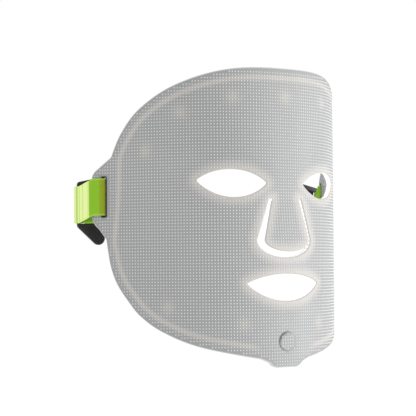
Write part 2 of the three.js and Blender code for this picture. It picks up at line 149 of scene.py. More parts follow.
def add_stage():
    world = bpy.data.worlds.new("white_studio")
    world.use_nodes = True
    world.node_tree.nodes["Background"].inputs["Color"].default_value = (1, 1, 1, 1)
    world.node_tree.nodes["Background"].inputs["Strength"].default_value = 1.0
    bpy.context.scene.world = world
    bpy.context.scene.view_settings.view_transform = "Standard"
    middle = (0, 0.03, -0.02)
    add_area_light("key_right", (1.0, -0.82, -0.1), middle, 0.5, 10.6)

    mesh = bpy.data.meshes.new("floor")
    half, depth = 6.0, -0.33
    corners = [(-half, -half, depth), (half, -half, depth), (half, half, depth), (-half, half, depth)]
    mesh.from_pydata(corners, [], [(0, 1, 2, 3)])
    floor = bpy.data.objects.new("floor", mesh)
    bpy.context.scene.collection.objects.link(floor)
    pale = bpy.data.materials.new("pale_floor")
    pale.use_nodes = True
    shader = pale.node_tree.nodes["Principled BSDF"]
    shader.inputs["Base Color"].default_value = (0.2, 0.2, 0.2, 1)
    shader.inputs["Roughness"].default_value = 1.0
    shader.inputs["Specular IOR Level"].default_value = 0.0
    shader.inputs["Emission Color"].default_value = (1, 1, 1, 1)
    shader.inputs["Emission Strength"].default_value = 0.85
    mesh.materials.append(pale)


# ---- Materials ----

class Shader:
    """A node material on one Principled shader, built up a step at a time."""

    def __init__(self, name, color, roughness, metallic=0.0):
        self.material = bpy.data.materials.new(name)
        self.material.use_nodes = True
        self.tree = self.material.node_tree
        self.principled = self.tree.nodes["Principled BSDF"]
        self.set("Base Color", (*color, 1))
        self.set("Roughness", roughness)
        self.set("Metallic", metallic)

    def set(self, socket, value):
        self.principled.inputs[socket].default_value = value

    def node(self, kind, inputs=(), **settings):
        made = self.tree.nodes.new(kind)
        for key, value in settings.items():
            setattr(made, key, value)
        for socket, value in dict(inputs).items():
            if isinstance(value, bpy.types.NodeSocket):
                self.tree.links.new(value, made.inputs[socket])
            else:
                made.inputs[socket].default_value = value
        return made

    def link(self, output, socket):
        self.tree.links.new(output, self.principled.inputs[socket])

    def place(self):
        return self.node("ShaderNodeTexCoord").outputs["Object"]

    def attribute(self, name):
        return self.node("ShaderNodeAttribute", attribute_name=name).outputs["Fac"]

    def math(self, operation, a, b=0.0, c=0.0):
        return self.node("ShaderNodeMath", {0: a, 1: b, 2: c}, operation=operation).outputs[0]

    def noise(self, scale, detail=3.0):
        made = self.node("ShaderNodeTexNoise", {"Vector": self.place(), "Scale": scale, "Detail": detail})
        return made.outputs["Fac"]

    def ramp(self, value, low, high):
        """0 below `low`, 1 above `high`, smooth between; a lower `high` turns it round."""
        made = self.node("ShaderNodeMapRange", {"Value": value, "From Min": low, "From Max": high},
                         interpolation_type="SMOOTHSTEP")
        return made.outputs["Result"]

    def blend(self, amount, first, second):
        """A colour between two colours, each a triple or a socket."""
        made = self.node("ShaderNodeMix", data_type="RGBA")
        for index, value in ((0, amount), (6, first), (7, second)):
            if isinstance(value, bpy.types.NodeSocket):
                self.tree.links.new(value, made.inputs[index])
            else:
                made.inputs[index].default_value = value if index == 0 else (*value, 1)
        return made.outputs[2]

    def vary_color(self, first, second, scale):
        self.link(self.blend(self.noise(scale), first, second), "Base Color")

    def vary_roughness(self, low, high, scale):
        made = self.node("ShaderNodeMapRange",
                         {"Value": self.noise(scale), "To Min": low, "To Max": high})
        self.link(made.outputs["Result"], "Roughness")

    def bump(self, height, distance_mm, strength=1.0):
        made = self.node("ShaderNodeBump", {"Height": height, "Distance": distance_mm * MM,
                                            "Strength": strength})
        self.link(made.outputs["Normal"], "Normal")

    def grain(self, size_mm, depth_mm):
        self.bump(self.noise(1 / (size_mm * MM), 4.0), depth_mm)


def silicone_skin():
    """Grey translucent silicone, paler over its sealing band; painted glow near its openings, painted
    highlight at its rim.
    """
    s = Shader("grey_silicone", (0.3, 0.31, 0.31), 0.5)
    edge = s.attribute("edge_distance")
    opening = s.attribute("opening_distance")
    body = s.blend(s.noise(14), (0.285, 0.292, 0.29), (0.335, 0.34, 0.338))
    off_band = s.math("ABSOLUTE", s.math("SUBTRACT", s.attribute("band_distance"), BAND_INSET))
    shown = s.math("MULTIPLY", s.attribute("band_shown"), 0.56)
    band = s.math("MULTIPLY", s.ramp(off_band, 3.0, 0.4), shown)
    body = s.blend(band, body, (0.53, 0.49, 0.45))
    # painted glow: light coming through the thin silicone near the openings, painted into its colour
    halo_glow = s.math("MULTIPLY", s.ramp(opening, 9.0, 0.3), 0.45)
    body = s.blend(halo_glow, body, (0.7, 0.645, 0.6))
    glow = s.math("MULTIPLY", s.attribute("glow"), 0.32)
    body = s.blend(glow, body, (0.6, 0.56, 0.5))
    shaded = s.blend(s.attribute("shade"), body, (0.1, 0.102, 0.1))
    # painted highlight along the rounded rim of the sheet
    rim = s.math("MULTIPLY", s.ramp(edge, 1.2, 0.1), 0.75)
    body = s.blend(rim, shaded, (0.72, 0.72, 0.71))
    # painted glow on the openings' walls: whitened colour and emission, though the silicone is no lamp
    wall_glow = s.ramp(opening, 0.25, 0.02)
    s.link(s.blend(wall_glow, body, (0.93, 0.92, 0.91)), "Base Color")
    s.set("Emission Color", (1.0, 0.99, 0.98, 1))
    s.link(s.math("MULTIPLY", wall_glow, 0.3), "Emission Strength")
    s.vary_roughness(0.42, 0.56, 60)
    s.grain(0.35, 0.01)
    s.set("Specular IOR Level", 0.35)
    return s.material


def silicone_dots():
    s = Shader("dot_silicone", (0.5, 0.505, 0.5), 0.42)
    s.vary_color((0.57, 0.575, 0.57), (0.66, 0.665, 0.66), 20)
    s.set("Specular IOR Level", 0.4)
    return s.material


def silicone_liner():
    """Milky silicone that lets the light strips behind it show."""
    s = Shader("clear_silicone", (0.66, 0.67, 0.67), 0.42)
    s.vary_color((0.6, 0.612, 0.612), (0.7, 0.708, 0.706), 25)
    s.vary_roughness(0.34, 0.5, 80)
    s.grain(0.4, 0.015)
    s.set("Alpha", 0.4)
    return s.material


def clear_lens():
    s = Shader("lens_silicone", (0.85, 0.86, 0.86), 0.15)
    s.vary_roughness(0.1, 0.22, 300)
    s.set("Alpha", 0.5)
    s.set("Coat Weight", 0.4)
    return s.material


def spacer_silicone():
    s = Shader("spacer_silicone", (0.75, 0.755, 0.75), 0.38)
    s.vary_color((0.7, 0.705, 0.7), (0.8, 0.805, 0.8), 60)
    s.grain(0.4, 0.01)
    return s.material


def lime_webbing():
    """Bright elastic webbing: ribs along its length, crossed by fine yarns, a painted highlight where
    it leaves the tab and painted shade where it dips into its slot."""
    s = Shader("lime_elastic", (0.22, 0.46, 0.015), 0.75)
    across = s.attribute("across")
    along = s.attribute("along")
    rib = s.math("SINE", s.math("MULTIPLY", across, 2 * math.pi / RIB_PITCH))
    yarn = s.math("SINE", s.math("MULTIPLY", along, 2 * math.pi / 0.55))
    weave = s.math("MULTIPLY_ADD", s.math("MULTIPLY", rib, yarn), 0.25, 0.5)
    shade = s.blend(weave, (0.19, 0.43, 0.01), (0.29, 0.54, 0.03))
    streaks = s.node("ShaderNodeTexNoise", {"W": along, "Scale": 1.1, "Detail": 2.0},
                     noise_dimensions="1D").outputs["Fac"]
    # painted highlight where the webbing leaves the tab, broken by streaks along it
    painted_highlight = s.math("MULTIPLY", s.attribute("painted_highlight"), s.ramp(streaks, 0.15, 0.6))
    shade = s.blend(s.math("MULTIPLY", painted_highlight, 0.92), shade, (0.9, 1.0, 0.44))
    # painted shade where the webbing dips into its slot
    shade = s.blend(s.math("MULTIPLY", s.attribute("dip_shade"), 0.75), shade, (0.27, 0.29, 0.017))
    hem = s.ramp(s.math("ABSOLUTE", across), STRAP_HEIGHT / 2 - 1.6, STRAP_HEIGHT / 2 - 0.6)
    s.link(s.blend(s.math("MULTIPLY", hem, 0.3), shade, (0.5, 0.86, 0.12)), "Base Color")
    s.bump(weave, 0.12, 0.8)
    s.set("Sheen Weight", 0.25)
    s.set("Sheen Roughness", 0.4)
    s.set("Sheen Tint", (0.8, 1.0, 0.45, 1))
    s.set("Specular IOR Level", 0.2)
    return s.material


def lime_thread():
    s = Shader("lime_thread", (0.42, 0.75, 0.1), 0.6)
    s.vary_color((0.36, 0.68, 0.06), (0.5, 0.82, 0.16), 900)
    s.grain(0.2, 0.03)
    return s.material


def black_moulding():
    """Black plastic with a fine spark-eroded grain, rubbed paler along its edges."""
    s = Shader("black_plastic", (0.012, 0.012, 0.012), 0.45)
    wear = s.ramp(s.node("ShaderNodeNewGeometry").outputs["Pointiness"], 0.52, 0.6)
    plain = s.blend(s.noise(120), (0.009, 0.009, 0.009), (0.018, 0.018, 0.017))
    s.link(s.blend(s.math("MULTIPLY", wear, 0.5), plain, (0.07, 0.07, 0.068)), "Base Color")
    s.vary_roughness(0.38, 0.55, 90)
    s.grain(0.15, 0.02)
    s.set("Specular IOR Level", 0.4)
    return s.material


def pod_plastic():
    s = Shader("pod_plastic", (0.6, 0.61, 0.6), 0.45)
    s.vary_color((0.56, 0.57, 0.565), (0.64, 0.645, 0.64), 70)
    s.vary_roughness(0.38, 0.52, 120)
    s.grain(0.2, 0.015)
    return s.material


def led_board():
    """White strip with an amber light package on every row and copper pads beside it."""
    s = Shader("led_board", (0.78, 0.77, 0.72), 0.45)
    parts = s.node("ShaderNodeSeparateXYZ", {"Vector": s.place()})
    height = s.math("MULTIPLY_ADD", parts.outputs["Z"], 1000.0, BRIDGE_Z - LED_FIRST_ROW + LED_PITCH / 2)
    off_row = s.math("ABSOLUTE", s.math("SUBTRACT", s.math("FLOORED_MODULO", height, LED_PITCH),
                                        LED_PITCH / 2))
    board = s.blend(s.noise(200), (0.72, 0.715, 0.67), (0.82, 0.815, 0.77))
    pads = s.blend(s.ramp(off_row, 2.7, 2.4), board, (0.7, 0.42, 0.16))
    package = s.blend(s.ramp(off_row, 1.85, 1.7), pads, (0.9, 0.88, 0.8))
    s.link(s.blend(s.ramp(off_row, 1.15, 0.9), package, (0.95, 0.62, 0.1)), "Base Color")
    s.vary_roughness(0.35, 0.5, 300)
    return s.material


def film_ribbon():
    """Amber film with copper tracks along it."""
    s = Shader("flex_ribbon", (0.6, 0.33, 0.08), 0.35)
    parts = s.node("ShaderNodeSeparateXYZ", {"Vector": s.place()})
    tracks = s.math("SINE", s.math("MULTIPLY", parts.outputs["Z"], 2 * math.pi / (0.8 * MM)))
    film = s.blend(s.noise(150), (0.52, 0.27, 0.05), (0.64, 0.36, 0.1))
    s.link(s.blend(s.ramp(tracks, 0.2, 0.5), film, (0.78, 0.45, 0.22)), "Base Color")
    s.bump(tracks, 0.03, 0.5)
    return s.material


def circuit_board():
    s = Shader("circuit_board", (0.02, 0.11, 0.05), 0.4)
    s.vary_color((0.015, 0.09, 0.04), (0.03, 0.15, 0.07), 400)
    s.grain(0.3, 0.02)
    return s.material


def drawn_steel():
    s = Shader("drawn_steel", (0.56, 0.57, 0.58), 0.28, metallic=1.0)
    s.vary_roughness(0.2, 0.36, 250)
    s.grain(0.1, 0.004)
    return s.material


def chip_resin():
    s = Shader("chip_plastic", (0.012, 0.012, 0.013), 0.5)
    s.vary_color((0.01, 0.01, 0.011), (0.02, 0.02, 0.021), 300)
    s.grain(0.12, 0.01)
    return s.material


# ---- The bend ----

REACHES = np.linspace(0, 160, 3201)
TURNS = WING_TURN * (1 - np.exp(-((REACHES / BEND_REACH) ** BEND_GROWTH)))


def running_total(values):
    steps = (values[1:] + values[:-1]) / 2 * (REACHES[1] - REACHES[0])
    return np.concatenate([[0], np.cumsum(steps)])


X_AT = running_total(np.cos(TURNS))
Y_AT = running_total(np.sin(TURNS))


def turn_at(u):
    return np.sign(u) * np.interp(np.abs(u), REACHES, TURNS)


def bent(flat):
    """Flat (u, z, w) in millimetres to places in the frame, still in millimetres."""
    u, z, w = np.asarray(flat, float).T
    turn = turn_at(u)
    x = np.sign(u) * np.interp(np.abs(u), REACHES, X_AT) + w * np.sin(turn)
    y = np.interp(np.abs(u), REACHES, Y_AT) - w * np.cos(turn)
    return np.column_stack([x, y - SHEET, z - BRIDGE_Z])


def tilted(places, soft=0.0):
    """Turns places out about the nose flap's hinge, easing in over `soft` below it."""
    hinge_y, hinge_z = -SHEET, FLAP_HINGE_Z - BRIDGE_Z
    y, z = places[:, 1] - hinge_y, places[:, 2] - hinge_z
    share = np.clip(-z / soft, 0, 1) if soft else np.ones(len(z))
    turn = FLAP_TILT * share * share * (3 - 2 * share)
    moved = places.copy()
    moved[:, 1] = hinge_y + y * np.cos(turn) + z * np.sin(turn)
    moved[:, 2] = hinge_z - y * np.sin(turn) + z * np.cos(turn)
    return moved


def sheet_frame(u, z):
    """The matrix of a stand on the sheet: x along it, y inwards, z up, in metres."""
    x, y, height = bent([(u, z, 0)])[0]
    return Matrix.Translation(Vector((x, y, height)) * MM) @ Matrix.Rotation(float(turn_at(u)), 4, "Z")


# ---- Outlines ----

CHIN_TAB = [(8.7, 0), (11.8, 1.2), (14.2, 3.6)]
JAW = [(20.3, 6), (63.3, 14.6), (90.2, 24.8), (106.7, 35.5), (116.7, 46.6), (124.6, 57.6),
       (129.4, 68.7), (131.8, 79.8), (133.2, 89)]
TAB = [(138.5, 95.8), (142.4, 99.4), (TAB_TIP - 0.7, 102.6), (TAB_TIP, 105.7),
       (TAB_TIP, 131.2), (TAB_TIP - 0.7, 134.4), (142.4, 137), (136.4, 141.4)]
BEHIND_TAB = [(130.5, 117)]     # where the edge would run if the mask had no side tab
BROW = [(129.4, 146.5), (121.4, 163), (107.5, 179.3), (81.7, 194.8), (44.5, 205.2), (0, 207.2)]


def smooth_line(points, steps=12):
    """A curve through points that starts and ends on them."""
    points = np.asarray(points, float)
    padded = np.vstack([points[0], points, points[-1]])
    made = []
    for before, start, end, after in zip(padded, padded[1:], padded[2:], padded[3:]):
        for t in np.linspace(0, 1, steps, endpoint=False):
            slope_in, slope_out = (end - before) / 2, (after - start) / 2
            made.append((2 * start - 2 * end + slope_in + slope_out) * t ** 3
                        + (3 * end - 3 * start - 2 * slope_in - slope_out) * t ** 2
                        + slope_in * t + start)
    return np.vstack([made, points[-1]])


def brow_line():
    """The brow up to its middle, curved as it is when it runs on over the other side."""
    line = smooth_line([*BROW, (-BROW[-2][0], BROW[-2][1])])
    return line[line[:, 0] > -0.01]


def half_edge():
    return np.vstack([CHIN_TAB, smooth_line(JAW), TAB, brow_line()])


def band_guide():
    """The edge without its tabs: the sealing band runs parallel to this."""
    half = np.vstack([smooth_line([(0, 0), *JAW, *BEHIND_TAB, BROW[0]]), brow_line()])
    return np.vstack([half, mirrored(half)])


def mirrored(line):
    return (line[line[:, 0] > 0.01] * (-1, 1))[::-1]


def even(loop, spacing):
    """The same closed line with its points evenly spaced."""
    closed = np.vstack([loop, loop[:1]])
    lengths = np.concatenate([[0], np.cumsum(np.linalg.norm(np.diff(closed, axis=0), axis=1))])
    count = max(8, round(lengths[-1] / spacing))
    stations = np.linspace(0, lengths[-1], count, endpoint=False)
    return np.column_stack([np.interp(stations, lengths, closed[:, axis]) for axis in (0, 1)])


def grow(loop, distance):
    """An anticlockwise outline grown outwards, or shrunk when the distance is negative."""
    before = loop - np.roll(loop, 1, axis=0)
    after = np.roll(loop, -1, axis=0) - loop
    before /= np.linalg.norm(before, axis=1)[:, None]
    after /= np.linalg.norm(after, axis=1)[:, None]
    along = before + after
    along /= np.linalg.norm(along, axis=1)[:, None]
    out = np.column_stack([along[:, 1], -along[:, 0]])
    mitre = np.maximum(0.6, out[:, 0] * before[:, 1] - out[:, 1] * before[:, 0])
    return loop + out * (distance / mitre)[:, None]


def almond(shape, side=1, segments=40):
    """A pointed almond with its outer corner raised; its points are closest near its corners."""
    t = np.cos(np.linspace(0, math.pi, segments, endpoint=False))
    lift = (1 - t * t) ** 0.85
    middle, slope = shape["z"], side * shape["tilt"]
    upper = np.column_stack([side * shape["u"] + t * shape["half"],
                             middle + slope * t + shape["rise"] * lift])
    lower = np.column_stack([side * shape["u"] - t * shape["half"],
                             middle - slope * t - shape["drop"] * lift])
    return np.vstack([upper, lower])


def nose_outline(top=0.0, corner=0.0, bottom=0.0, top_z=NOSE["top"]):
    """The U round the nose, inset at its top, corners and bottom."""
    half = NOSE["corner_half"] - corner
    depth = NOSE["corner_z"] - NOSE["bottom"] - bottom
    angle = math.pi + np.linspace(0, math.pi, 61)
    bowl = np.column_stack([half * np.cos(angle), NOSE["corner_z"] + depth * np.sin(angle)])
    top_half = NOSE["top_half"] - top
    return np.vstack([bowl, [(top_half, top_z), (-top_half, top_z)]])


def rounded(width, height, radius, u=0.0, z=0.0, steps=6):
    """A rectangle with round corners."""
    corners = [(1, -1, -90), (1, 1, 0), (-1, 1, 90), (-1, -1, 180)]
    points = []
    for side_u, side_z, start in corners:
        for turn in np.radians(np.linspace(start, start + 90, steps)):
            points.append((side_u * (width / 2 - radius) + radius * math.cos(turn) + u,
                           side_z * (height / 2 - radius) + radius * math.sin(turn) + z))
    return np.array(points)


def rounded_between(low_u, high_u, low_z, high_z, radius):
    return rounded(high_u - low_u, high_z - low_z, radius, (high_u + low_u) / 2, (high_z + low_z) / 2)


def circle(radius, u, z, count):
    turns = np.linspace(0, 2 * math.pi, count, endpoint=False)
    return np.column_stack([u + radius * np.cos(turns), z + radius * np.sin(turns)])


EDGE = even(np.vstack([half_edge(), mirrored(half_edge())]), 1.3)
EYES = [even(almond(EYE, side), 0.9) for side in (1, -1)]
MOUTH_HOLE = even(almond(MOUTH), 0.9)
NOSE_HOLE = even(nose_outline(), 1.0)
SLOT_RIM = SLOT_WALL + 0.08
SLOTS = [even(rounded(SLOT_WIDTH + 2 * SLOT_RIM, SLOT_HEIGHT + 2 * SLOT_RIM, 0.8,
                      side * SLOT_U, TAB_MIDDLE), 0.8) for side in (1, -1)]
BUTTON_HOLE = circle(BUTTON_RADIUS + 0.08, 0, BUTTON_Z, 72)
OPENINGS = [*EYES, MOUTH_HOLE, NOSE_HOLE]
BAND_GUIDE = even(band_guide(), 1.3)


def off_hinge(loop):
    """The part of a line round the nose that is not on the flap's hinge."""
    hinge_half = NOSE["top_half"] - FLAP_SLIT["top"] - 0.2
    return loop[(loop[:, 1] < NOSE["top"] - 0.2) | (np.abs(loop[:, 0]) > hinge_half)]


def is_inside(points, loop):
    """Which points lie inside a closed line, counting its crossings with a ray along u."""
    inside = np.zeros(len(points), bool)
    for (u0, z0), (u1, z1) in zip(loop, np.roll(loop, -1, axis=0)):
        if z0 != z1:
            crosses = (z0 > points[:, 1]) != (z1 > points[:, 1])
            inside ^= crosses & (points[:, 0] < (u1 - u0) * (points[:, 1] - z0) / (z1 - z0) + u0)
    return inside


def within(points, outline, holes):
    """Which points lie inside an outline and outside its holes."""
    keep = is_inside(points, outline)
    for hole in holes:
        keep &= ~is_inside(points, hole)
    return keep


def distance_to(loops):
    """A function that gives each point's distance to the nearest of some finely divided lines."""
    points = np.vstack(loops)
    tree = kdtree.KDTree(len(points))
    for i, (u, z) in enumerate(points):
        tree.insert((u, z, 0), i)
    tree.balance()
    return lambda places: np.array([tree.find((u, z, 0))[2] for u, z in places])


# ---- Meshes ----

def add_object(name, mesh, material, body, replaced=()):
    piece = bpy.data.objects.new(name, mesh)
    bpy.context.scene.collection.objects.link(piece)
    mesh.materials.append(material)
    if body:
        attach(piece, body)
    if replaced:
        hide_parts(*replaced)
    return piece


def make_mesh(name, places_mm, faces, sharp_degrees=40):
    mesh = bpy.data.meshes.new(name)
    mesh.from_pydata((np.asarray(places_mm) * MM).tolist(), [], [tuple(map(int, face)) for face in faces])
    mesh.validate()
    mesh.shade_smooth()
    mesh.set_sharp_from_angle(angle=math.radians(sharp_degrees))
    return mesh


def add_attribute(mesh, name, values):
    layer = mesh.attributes.new(name, "FLOAT", "POINT")
    layer.data.foreach_set("value", np.asarray(values, np.float32))


RIM_RADIUS = 1.1
RIM_STEPS = (0.0, 0.12, 0.38, 0.72, RIM_RADIUS)
ROW_RATIO = 0.87            # rows of even triangles, as a share of their sides
CLEAR_RATIO = 0.6           # how near a grid point may come to an outline, as a share of the spacing
NEAR_RIM = 1.3              # within this of a slot or the button the skin's rim stays square


def rim_drop(distance, radius=RIM_RADIUS):
    """How far a rounded rim falls away at a distance from the edge."""
    reach = np.clip(radius - distance, 0, radius)
    return radius - np.sqrt(radius ** 2 - reach ** 2)


def corners_and_sides(loops):
    """The corners of closed lines, and the sides that join them as pairs of numbers."""
    corners, sides = [], []
    for loop in loops:
        first = len(corners)
        corners += [Vector(point) for point in loop]
        sides += [(first + i, first + (i + 1) % len(loop)) for i in range(len(loop))]
    return corners, sides


def triangulate(outline, holes, lines, spacing):
    """Triangles over an outline with holes, with rows of points for its rounded rims.

    `lines` are further closed lines that triangle sides must follow. Returns the points, how far
    each is in from the edge (a large number away from the rims) and the triangles."""
    loops = [(grow(outline, -step), step) for step in RIM_STEPS]
    loops += [(grow(hole, step), step) for hole in holes for step in RIM_STEPS]
    loops += [(line, LIP) for line in lines]
    low, high = outline.min(axis=0), outline.max(axis=0)
    rows = np.arange(low[1], high[1], spacing * ROW_RATIO)
    grid = np.array([(u + (row % 2) * spacing / 2, z) for row, z in enumerate(rows)
                     for u in np.arange(low[0], high[0], spacing)])
    clear = distance_to([loop for loop, _ in loops])(grid) > spacing * CLEAR_RATIO
    keep = clear & within(grid, outline, holes)
    points, sides = corners_and_sides([loop for loop, _ in loops])
    points += [Vector(point) for point in grid[keep]]
    inset = [step for loop, step in loops for _ in loop] + [LIP] * int(keep.sum())
    made, _, faces, sources, _, _ = delaunay_2d_cdt(points, sides, [], 1, 1e-4)
    flat = np.array([tuple(point) for point in made])
    inset_at = np.array([min((inset[i] for i in source), default=0.5) for source in sources])
    faces = np.array([face for face in faces if len(face) == 3])
    return flat, inset_at, faces[within(flat[faces].mean(axis=1), outline, holes)]


def side_pairs(faces):
    """Each side of each triangle as (start, end), and a map from a side to its triangle."""
    owner = {}
    for number, (a, b, c) in enumerate(faces):
        owner[(a, b)] = owner[(b, c)] = owner[(c, a)] = number
    return owner


def shell_faces(faces, count, in_pocket):
    """Closes a sheet: its front, its back, the walls round its edges and the pocket in its back.

    Front corners are numbered as they are, back ones from `count`, the pocket's from 2 * count."""
    owner = side_pairs(faces)
    made = [tuple(face) for face in faces]
    for number, (a, b, c) in enumerate(faces):
        level = 2 * count if in_pocket[number] else count
        made.append((level + a, level + c, level + b))
    for (a, b), number in owner.items():
        other = owner.get((b, a))
        if other is None:
            made.append((a, count + a, count + b, b))
        elif in_pocket[number] and not in_pocket[other]:
            made.append((count + a, 2 * count + a, 2 * count + b, count + b))
    return made


def pocket(clear):
    """The hollow between skin and liner: its outside line and the islands round the openings."""
    inside = grow(EDGE, -(LIP + clear))
    inside[:, 0] = np.clip(inside[:, 0], clear - TAB_SOLID, TAB_SOLID - clear)
    return even(inside, 1.5), [even(grow(opening, LIP + clear), 1.2) for opening in OPENINGS]


def layered(flat, levels, place):
    """The same flat points at each of some levels, all put in place."""
    return np.vstack([place(np.column_stack([flat, level])) for level in levels])


def drop_unused(places, faces):
    """Leaves out places that no face uses."""
    used = np.unique(np.concatenate([np.asarray(face) for face in faces]))
    renumber = {old: new for new, old in enumerate(used)}
    return places[used], [tuple(renumber[corner] for corner in face) for face in faces], used


def skin_attributes(mesh, points, opening_loops, shade=None):
    """What the skin's material reads: distances in millimetres, glowing spots and shade."""
    add_attribute(mesh, "edge_distance", distance_to([even(EDGE, 0.3)])(points))
    add_attribute(mesh, "opening_distance", distance_to(opening_loops)(points))
    off_chin = np.clip((np.abs(points[:, 0]) - 20) / 10, 0, 1)
    band_shown = np.where(points[:, 1] < 60, off_chin, 1.0)
    band_distance = distance_to([even(BAND_GUIDE, 0.4)])(points)
    band_distance[~is_inside(points, BAND_GUIDE)] = 0
    add_attribute(mesh, "band_distance", band_distance)
    add_attribute(mesh, "band_shown", band_shown)
    glow = np.zeros(len(points))
    glow_radius = 3.2
    for place in SPACER_PLACES:
        reach = np.linalg.norm(points - place, axis=1) / glow_radius
        glow = np.maximum(glow, np.exp(-reach ** 2 / 2))
    add_attribute(mesh, "glow", glow)
    add_attribute(mesh, "shade", np.zeros(len(points)) if shade is None else shade)


def make_skin(material):
    inside, islands = pocket(0.0)
    holes = [*OPENINGS, *SLOTS, BUTTON_HOLE]
    flat, inset, faces = triangulate(EDGE, holes, [inside, *islands], 1.7)
    in_pocket = within(flat[faces].mean(axis=1), inside, islands)
    drop = rim_drop(inset)
    at_hinge = (np.abs(flat[:, 0]) < NOSE["top_half"] - 0.5) & (np.abs(flat[:, 1] - NOSE["top"]) < 1.6)
    drop[at_hinge] = 0
    drop[distance_to([BUTTON_HOLE])(flat) < NEAR_RIM] = 0
    drop[distance_to([even(slot, 0.3) for slot in SLOTS])(flat) < NEAR_RIM] *= 0.15
    count = len(flat)
    levels = (-drop, drop - SHEET, np.full(count, -SKIN))
    places = layered(flat, levels, bent)
    places, made, used = drop_unused(places, shell_faces(faces, count, in_pocket))
    mesh = make_mesh("skin", places, made)
    openings = [*[even(loop, 0.3) for loop in (*EYES, MOUTH_HOLE)], off_hinge(even(NOSE_HOLE, 0.3))]
    skin_attributes(mesh, flat[used % count], openings)
    return add_object("silicone_skin", mesh, material, "mask_sheet", ["outer_skin"])


def on_flap(flat):
    return tilted(bent(flat), 2.5)


FLAP_EDGE = even(nose_outline(**FLAP_SLIT, top_z=NOSE["top"] - 0.04), 0.9)
FLAP_LIP = LIP * 0.8
HINGE = Vector((0, -SHEET, FLAP_HINGE_Z - BRIDGE_Z)) * MM


def make_flap(material):
    """The nose flap, which runs on into the skin above its hinge."""
    inside = even(grow(FLAP_EDGE, -FLAP_LIP), 1.2)
    flat, inset, faces = triangulate(FLAP_EDGE, [], [inside], 1.5)
    drop = rim_drop(inset)
    drop[flat[:, 1] > NOSE["top"] - 1.6] = 0
    count = len(flat)
    levels = (-drop, drop - SHEET, np.full(count, -SKIN))
    places = layered(flat, levels, on_flap)
    in_pocket = is_inside(flat[faces].mean(axis=1), inside)
    places, made, used = drop_unused(places, shell_faces(faces, count, in_pocket))
    mesh = make_mesh("flap", places, made)
    skin_attributes(mesh, flat[used % count], [off_hinge(even(FLAP_EDGE, 0.3))])
    piece = add_object("silicone_flap", mesh, material, None, ["nose_flap"])
    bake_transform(piece)


def make_flap_liner(material):
    inside = even(grow(FLAP_EDGE, -(FLAP_LIP + GAP)), 1.2)
    flat, inset, faces = triangulate(inside, [], [], 3.0)
    drop = rim_drop(inset, 0.4)
    levels = (np.full(len(flat), LINER - SHEET), drop - SHEET)
    places = layered(flat, levels, lambda points: tilted(bent(points)))
    made = shell_faces(faces, len(flat), np.zeros(len(faces), bool))
    mesh = make_mesh("flap_liner", places, made)
    add_object("silicone_flap_liner", mesh, material, "nose_flap_body",
               ["nose_flap_liner"])


def make_flap_lenses(material):
    tilt = (Matrix.Translation(HINGE) @ Matrix.Rotation(-FLAP_TILT, 4, "X")
            @ Matrix.Translation(-HINGE))
    matrices = [tilt @ sheet_frame(u, z) for u, z in strip_rows(0, 5, 6)]
    mesh = turned_mesh("flap_lenses", LENS_PROFILE, matrices, 20)
    add_object("flap_light_lenses", mesh, material, "nose_flap_body")


def dot_mesh(name, centres, place):
    """Low square nubs with tapered sides, one on each centre."""
    base, top = DOT_WIDTH / 2, DOT_WIDTH * 0.3
    corners = [(-1, -1), (1, -1), (1, 1), (-1, 1)]
    ring = [(base * a, base * b, -0.06) for a, b in corners]
    ring += [(top * a, top * b, DOT_HEIGHT) for a, b in corners]
    flat = np.concatenate([np.column_stack([centres, np.zeros(len(centres))]) + point for point in ring])
    count = len(centres)
    numbers = np.arange(8)[None, :] * count + np.arange(count)[:, None]
    faces = []
    for corner in numbers:
        faces.append(corner[4:8])
        for i in range(4):
            j = (i + 1) % 4
            faces.append((corner[i], corner[j], corner[4 + j], corner[4 + i]))
    return make_mesh(name, place(flat), faces, 80)


def make_dots(material):
    columns = np.arange(-68, 69) * DOT_PITCH
    rows = np.arange(1, 98) * DOT_PITCH
    grid = np.array([(u, z) for u in columns for z in rows])
    holes = (*EYES, MOUTH_HOLE, *SLOTS, BUTTON_HOLE)
    keep = within(grid, EDGE, holes) & (distance_to([even(EDGE, 0.3)])(grid) > 1.9)
    keep &= distance_to([even(loop, 0.3) for loop in (*EYES, MOUTH_HOLE)])(grid) > 1.3
    keep &= distance_to([even(loop, 0.3) for loop in SLOTS])(grid) > 1.3
    keep &= distance_to([BUTTON_HOLE])(grid) > 0.8
    on_button = np.linalg.norm(grid - (0, BUTTON_Z), axis=1) < BUTTON_RADIUS - 1.0
    flap = even(nose_outline(**FLAP_SLIT), 0.3)
    hinged = is_inside(grid, flap) & (distance_to([off_hinge(flap)])(grid) > 1.2)
    keep &= (distance_to([off_hinge(even(NOSE_HOLE, 0.3))])(grid) > 1.2) & ~is_inside(grid, NOSE_HOLE)
    on_left = grid[:, 0] > -DOT_PITCH / 2
    for name, half in (("left", on_left), ("right", ~on_left)):
        mesh = dot_mesh(f"dots_{name}", grid[keep & half], bent)
        add_object(f"dot_grid_{name}", mesh, material, "mask_sheet")
    mesh = dot_mesh("dots_flap", grid[hinged], on_flap)
    add_object("dot_grid_flap", mesh, material, "nose_flap_body")
    lift = (0, 0, BUTTON_PROUD)
    mesh = dot_mesh("dots_button", grid[on_button], lambda flat: bent(flat + lift))
    add_object("dot_grid_button", mesh, material, "button_body")


def make_liner(material):
    inside, islands = pocket(GAP)
    pod_top = 33.6
    pod_hole = rounded(28.0, pod_top, 1.0, 0, pod_top / 2)
    flat, inset, faces = triangulate(inside, islands, [], 4.0)
    middles = flat[faces].mean(axis=1)
    faces = faces[~is_inside(middles, pod_hole)]
    drop = rim_drop(inset, 0.4)
    levels = (np.full(len(flat), LINER - SHEET), drop - SHEET)
    places = layered(flat, levels, bent)
    places, made, _ = drop_unused(places, shell_faces(faces, len(flat), np.zeros(len(faces), bool)))
    mesh = make_mesh("liner", places, made)
    add_object("silicone_liner", mesh, material, "mask_sheet", ["inner_liner"])


